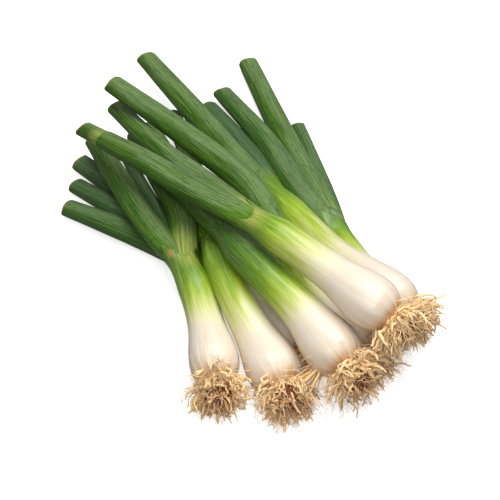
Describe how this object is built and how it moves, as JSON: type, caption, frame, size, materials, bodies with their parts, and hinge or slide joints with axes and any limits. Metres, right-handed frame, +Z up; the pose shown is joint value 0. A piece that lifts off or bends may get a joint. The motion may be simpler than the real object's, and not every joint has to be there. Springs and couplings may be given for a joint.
{
  "type": "spring onion bunch",
  "caption": "Loose bunch of trimmed spring onions lying in a crossed pile, with white bulbs, dry root tufts and cut hollow green leaves.",
  "frame": {"origin": "middle of the bunch's box, on the table that it lies on", "axes": "+Z up from the table, +Y along the bunch from the roots to the cut leaf ends, +X to the right when looking along +Y"},
  "size_m": [0.202, 0.353, 0.0767],
  "materials": {
    "bulb_skin": "smooth, slightly waxy white bulb skin with fine lengthwise veins, going to pale green up the shank",
    "green_leaf": "dark green leaf with a blue-grey waxy bloom above, fine ribs along it and a pale cut rim",
    "dry_root": "dry straw-coloured roots with dark gaps between them"
  },
  "bodies": {
    "root": {"onion_1_bulb": "bulb_skin", "onion_1_leaf_1": "green_leaf", "onion_1_leaf_2": "green_leaf", "onion_1_leaf_3": "green_leaf", "onion_1_roots": "dry_root", "onion_2_bulb": "bulb_skin", "onion_2_leaf_1": "green_leaf", "onion_2_leaf_2": "green_leaf", "onion_2_roots": "dry_root", "onion_3_bulb": "bulb_skin", "onion_3_leaf_1": "green_leaf", "onion_3_roots": "dry_root", "onion_4_bulb": "bulb_skin", "onion_4_leaf_1": "green_leaf", "onion_4_leaf_2": "green_leaf", "onion_4_roots": "dry_root", "onion_5_bulb": "bulb_skin", "onion_5_leaf_1": "green_leaf", "onion_5_leaf_2": "green_leaf", "onion_5_roots": "dry_root", "onion_6_bulb": "bulb_skin", "onion_6_leaf_1": "green_leaf", "onion_6_leaf_2": "green_leaf", "onion_6_leaf_3": "green_leaf", "onion_6_roots": "dry_root", "onion_7_bulb": "bulb_skin", "onion_7_leaf_1": "green_leaf", "onion_7_roots": "dry_root", "onion_8_bulb": "bulb_skin", "onion_8_leaf_1": "green_leaf", "onion_8_leaf_2": "green_leaf", "onion_8_leaf_3": "green_leaf", "onion_8_roots": "dry_root"}
  },
  "joints": []
}
